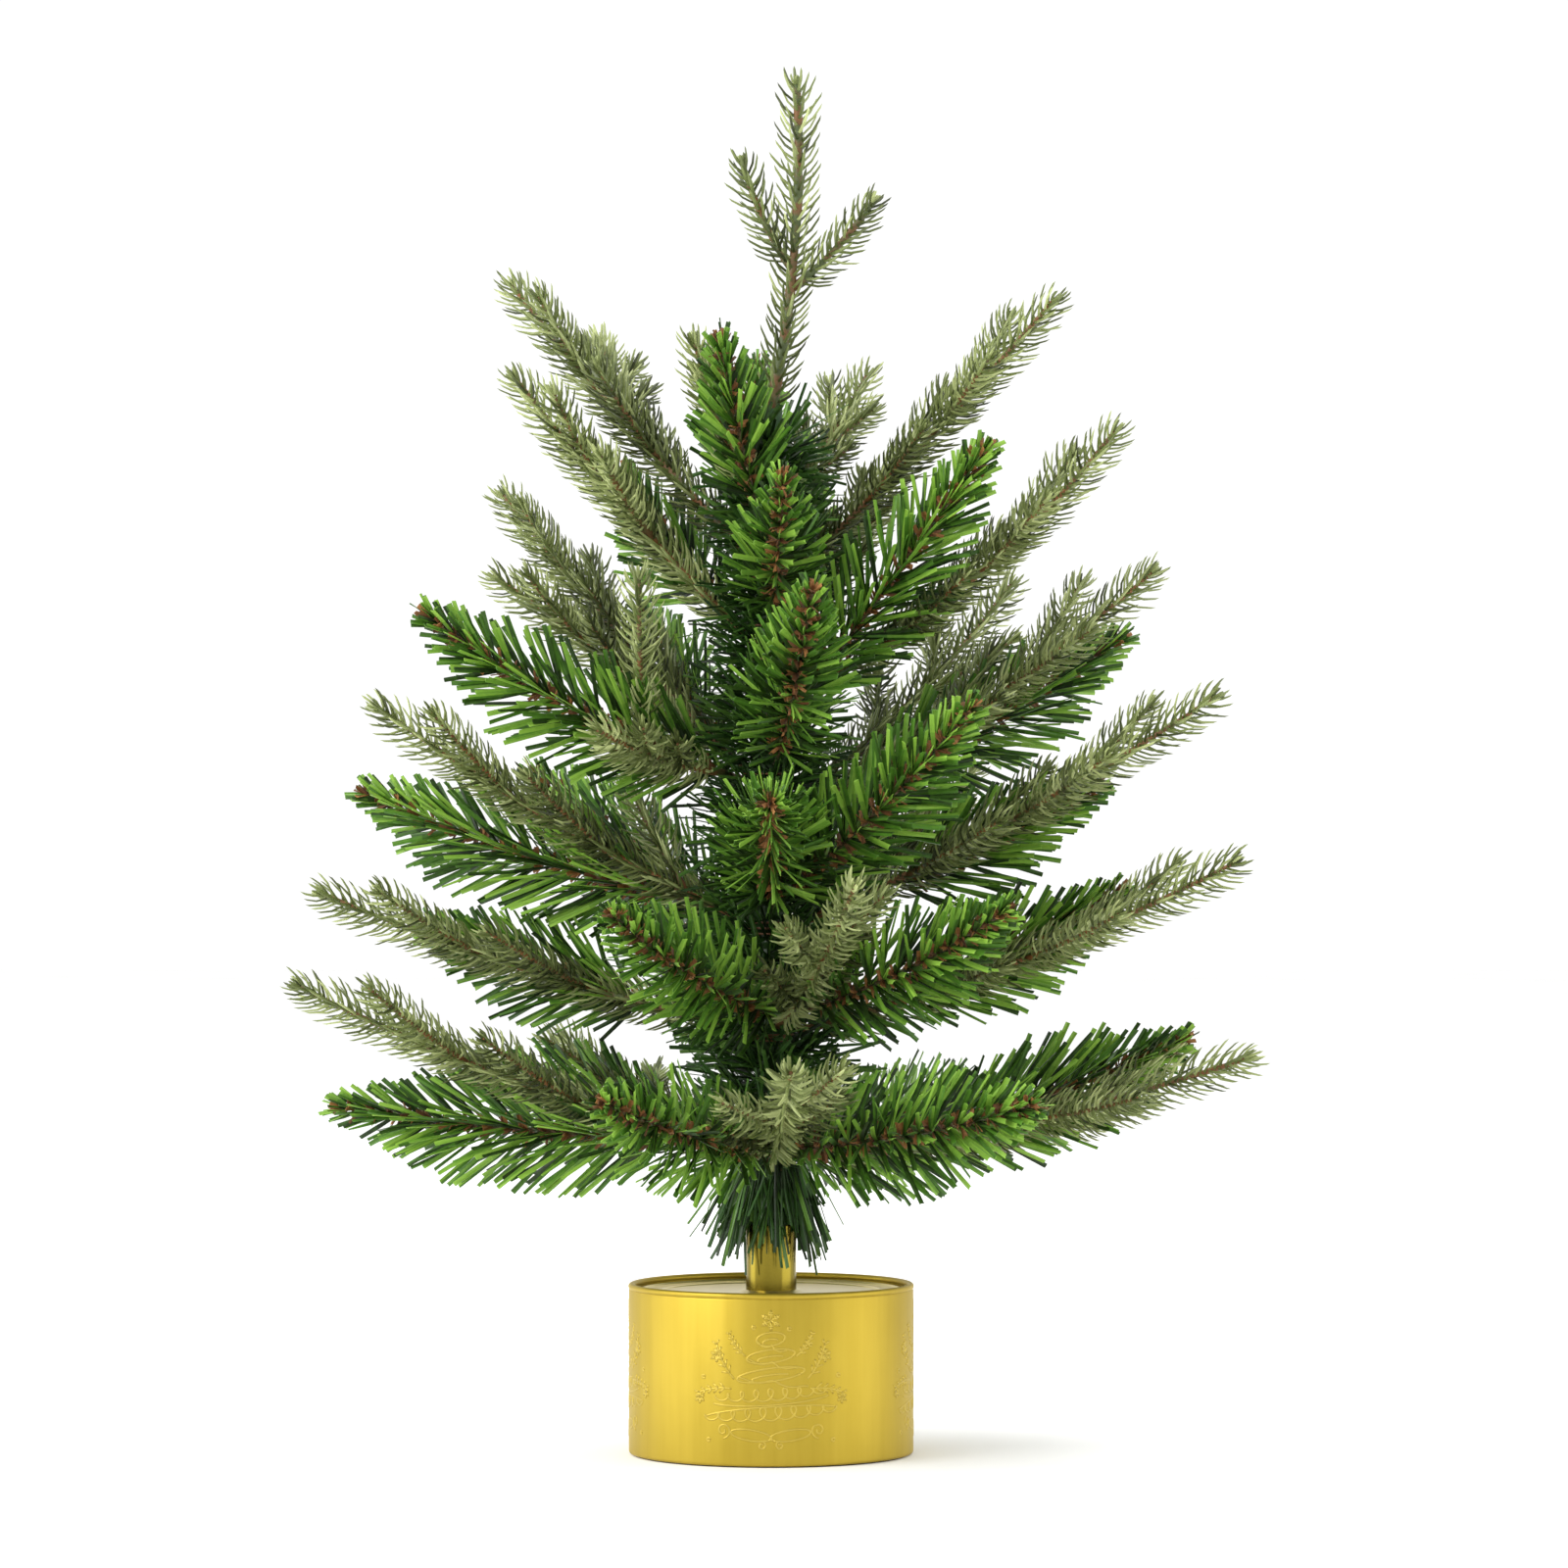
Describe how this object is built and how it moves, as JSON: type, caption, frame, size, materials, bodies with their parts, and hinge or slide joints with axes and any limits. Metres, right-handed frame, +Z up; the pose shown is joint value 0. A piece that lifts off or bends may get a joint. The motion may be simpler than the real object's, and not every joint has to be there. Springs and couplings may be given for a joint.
{
  "type": "artificial tabletop tree",
  "caption": "Small artificial fir on a steel-cored trunk that lifts out of a tube in a weighted round tin; wire branches with tinsel tips and moulded sprigs bend at the trunk",
  "frame": {"origin": "middle of the underside of the tin, on the surface it stands on", "axes": "+Z up along the trunk, -Y towards the front, +X to the right seen from the front"},
  "size_m": [0.3396, 0.2736, 0.4894],
  "materials": {
    "tin_gold": "satin gold lacquer",
    "lid_gold": "satin gold lacquer",
    "tube_gold": "gloss gold lacquer",
    "ballast": "cast, matte",
    "foot": "matte foam rubber",
    "collar": "zinc plated",
    "rod": "drawn",
    "plug": "matte",
    "tape": "matte crepe",
    "trunk_tinsel": "satin film",
    "binding_wire": "matte",
    "tinsel": "satin film",
    "sprig": "satin moulding"
  },
  "bodies": {
    "base": {"tin_body": "tin_gold", "tin_lid": "lid_gold", "tin_bottom": "tin_gold", "ballast": "ballast", "foot_pad": "foot", "socket_tube": "tube_gold", "socket_collar": "collar"},
    "trunk": {"trunk_rod": "rod", "trunk_plug": "plug", "trunk_tape": "tape", "trunk_tinsel": "trunk_tinsel", "branch_bindings": "binding_wire", "leader_sprig": "sprig"},
    "branch_a1": {"branch_a1_tinsel": "tinsel", "branch_a1_sprig": "sprig"},
    "branch_a2": {"branch_a2_tinsel": "tinsel", "branch_a2_sprig": "sprig"},
    "branch_a3": {"branch_a3_tinsel": "tinsel", "branch_a3_sprig": "sprig"},
    "branch_a4": {"branch_a4_tinsel": "tinsel", "branch_a4_sprig": "sprig"},
    "branch_a5": {"branch_a5_tinsel": "tinsel", "branch_a5_sprig": "sprig"},
    "branch_b1": {"branch_b1_tinsel": "tinsel", "branch_b1_sprig": "sprig"},
    "branch_b2": {"branch_b2_tinsel": "tinsel", "branch_b2_sprig": "sprig"},
    "branch_b3": {"branch_b3_tinsel": "tinsel", "branch_b3_sprig": "sprig"},
    "branch_b4": {"branch_b4_tinsel": "tinsel", "branch_b4_sprig": "sprig"},
    "branch_c1": {"branch_c1_tinsel": "tinsel", "branch_c1_sprig": "sprig"},
    "branch_c2": {"branch_c2_tinsel": "tinsel"},
    "branch_c3": {"branch_c3_tinsel": "tinsel", "branch_c3_sprig": "sprig"},
    "branch_c4": {"branch_c4_tinsel": "tinsel", "branch_c4_sprig": "sprig"},
    "branch_c5": {"branch_c5_tinsel": "tinsel"},
    "branch_d1": {"branch_d1_tinsel": "tinsel", "branch_d1_sprig": "sprig"},
    "branch_d2": {"branch_d2_tinsel": "tinsel", "branch_d2_sprig": "sprig"},
    "branch_d3": {"branch_d3_sprig": "sprig"},
    "branch_d4": {"branch_d4_tinsel": "tinsel", "branch_d4_sprig": "sprig"},
    "branch_d5": {"branch_d5_tinsel": "tinsel"},
    "branch_e1": {"branch_e1_tinsel": "tinsel", "branch_e1_sprig": "sprig"},
    "branch_e2": {"branch_e2_tinsel": "tinsel", "branch_e2_sprig": "sprig"},
    "branch_e3": {"branch_e3_tinsel": "tinsel"},
    "branch_e4": {"branch_e4_tinsel": "tinsel", "branch_e4_sprig": "sprig"},
    "branch_f1": {"branch_f1_sprig": "sprig"},
    "branch_f2": {"branch_f2_tinsel": "tinsel", "branch_f2_sprig": "sprig"},
    "branch_f3": {"branch_f3_sprig": "sprig"},
    "branch_f4": {"branch_f4_tinsel": "tinsel", "branch_f4_sprig": "sprig"}
  },
  "joints": [
    {"name": "trunk_lift", "type": "slide", "parent": "base", "child": "trunk", "axis": [0, 0, 1], "range_m": [0, 0.075]},
    {"name": "bend_a1", "type": "hinge", "parent": "trunk", "child": "branch_a1", "pos_m": [-0.00998, -0.0007, 0.108], "axis": [-0.0698, 0.9976, 0], "range_deg": [-20, 10]},
    {"name": "bend_a2", "type": "hinge", "parent": "trunk", "child": "branch_a2", "pos_m": [0.00052, -0.00999, 0.107], "axis": [-0.9986, -0.0523, 0], "range_deg": [-20, 25]},
    {"name": "bend_a3", "type": "hinge", "parent": "trunk", "child": "branch_a3", "pos_m": [0.00995, -0.00104, 0.105], "axis": [-0.1045, -0.9945, 0], "range_deg": [-20, 20]},
    {"name": "bend_a4", "type": "hinge", "parent": "trunk", "child": "branch_a4", "pos_m": [0.00545, 0.00839, 0.109], "axis": [0.8387, -0.5446, 0], "range_deg": [-20, 50]},
    {"name": "bend_a5", "type": "hinge", "parent": "trunk", "child": "branch_a5", "pos_m": [-0.00588, 0.00809, 0.109], "axis": [0.809, 0.5878, 0], "range_deg": [-20, 20]},
    {"name": "bend_b1", "type": "hinge", "parent": "trunk", "child": "branch_b1", "pos_m": [-0.00998, 0.0007, 0.152], "axis": [0.0698, 0.9976, 0], "range_deg": [-15, 15]},
    {"name": "bend_b2", "type": "hinge", "parent": "trunk", "child": "branch_b2", "pos_m": [0.00259, -0.00966, 0.153], "axis": [-0.9659, -0.2588, 0], "range_deg": [-20, 20]},
    {"name": "bend_b3", "type": "hinge", "parent": "trunk", "child": "branch_b3", "pos_m": [0.0097, -0.00242, 0.151], "axis": [-0.2419, -0.9703, 0], "range_deg": [-20, 10]},
    {"name": "bend_b4", "type": "hinge", "parent": "trunk", "child": "branch_b4", "pos_m": [-0.00309, 0.00951, 0.151], "axis": [0.9511, 0.309, 0], "range_deg": [-20, 25]},
    {"name": "bend_c1", "type": "hinge", "parent": "trunk", "child": "branch_c1", "pos_m": [-0.00999, 0.00035, 0.191], "axis": [0.0349, 0.9994, 0], "range_deg": [-15, 20]},
    {"name": "bend_c2", "type": "hinge", "parent": "trunk", "child": "branch_c2", "pos_m": [0, -0.01, 0.193], "axis": [-1, 0, 0], "range_deg": [-20, 35]},
    {"name": "bend_c3", "type": "hinge", "parent": "trunk", "child": "branch_c3", "pos_m": [0.00985, -0.00174, 0.189], "axis": [-0.1736, -0.9848, 0], "range_deg": [-20, 10]},
    {"name": "bend_c4", "type": "hinge", "parent": "trunk", "child": "branch_c4", "pos_m": [0.00407, 0.00914, 0.191], "axis": [0.9135, -0.4067, 0], "range_deg": [-20, 15]},
    {"name": "bend_c5", "type": "hinge", "parent": "trunk", "child": "branch_c5", "pos_m": [-0.00695, 0.00719, 0.191], "axis": [0.7193, 0.6947, 0], "range_deg": [-20, 35]},
    {"name": "bend_d1", "type": "hinge", "parent": "trunk", "child": "branch_d1", "pos_m": [-0.00961, -0.00276, 0.241], "axis": [-0.2756, 0.9613, 0], "range_deg": [-20, 30]},
    {"name": "bend_d2", "type": "hinge", "parent": "trunk", "child": "branch_d2", "pos_m": [0.00978, 0.00208, 0.229], "axis": [0.2079, -0.9781, 0], "range_deg": [-20, 30]},
    {"name": "bend_d3", "type": "hinge", "parent": "trunk", "child": "branch_d3", "pos_m": [0.00643, 0.00766, 0.233], "axis": [0.766, -0.6428, 0], "range_deg": [-20, 30]},
    {"name": "bend_d4", "type": "hinge", "parent": "trunk", "child": "branch_d4", "pos_m": [-0.00819, 0.00574, 0.242], "axis": [0.5736, 0.8192, 0], "range_deg": [-20, 15]},
    {"name": "bend_d5", "type": "hinge", "parent": "trunk", "child": "branch_d5", "pos_m": [0.00139, -0.0099, 0.246], "axis": [-0.9903, -0.1392, 0], "range_deg": [-20, 20]},
    {"name": "bend_e1", "type": "hinge", "parent": "trunk", "child": "branch_e1", "pos_m": [-0.00992, 0.00122, 0.293], "axis": [0.1219, 0.9925, 0], "range_deg": [-20, 30]},
    {"name": "bend_e2", "type": "hinge", "parent": "trunk", "child": "branch_e2", "pos_m": [0.00866, -0.005, 0.267], "axis": [-0.5, -0.866, 0], "range_deg": [-20, 20]},
    {"name": "bend_e3", "type": "hinge", "parent": "trunk", "child": "branch_e3", "pos_m": [0.00052, -0.00999, 0.299], "axis": [-0.9986, -0.0523, 0], "range_deg": [-20, 50]},
    {"name": "bend_e4", "type": "hinge", "parent": "trunk", "child": "branch_e4", "pos_m": [0.00174, 0.00985, 0.287], "axis": [0.9848, -0.1736, 0], "range_deg": [-20, 25]},
    {"name": "bend_f1", "type": "hinge", "parent": "trunk", "child": "branch_f1", "pos_m": [-0.00899, 0.00438, 0.322], "axis": [0.4384, 0.8988, 0], "range_deg": [-20, 35]},
    {"name": "bend_f2", "type": "hinge", "parent": "trunk", "child": "branch_f2", "pos_m": [-0.00375, -0.00927, 0.332], "axis": [-0.9272, 0.3746, 0], "range_deg": [-20, 25]},
    {"name": "bend_f3", "type": "hinge", "parent": "trunk", "child": "branch_f3", "pos_m": [0.00988, -0.00156, 0.316], "axis": [-0.1564, -0.9877, 0], "range_deg": [-20, 35]},
    {"name": "bend_f4", "type": "hinge", "parent": "trunk", "child": "branch_f4", "pos_m": [-0.00104, 0.00995, 0.33], "axis": [0.9945, 0.1045, 0], "range_deg": [-20, 30]}
  ]
}
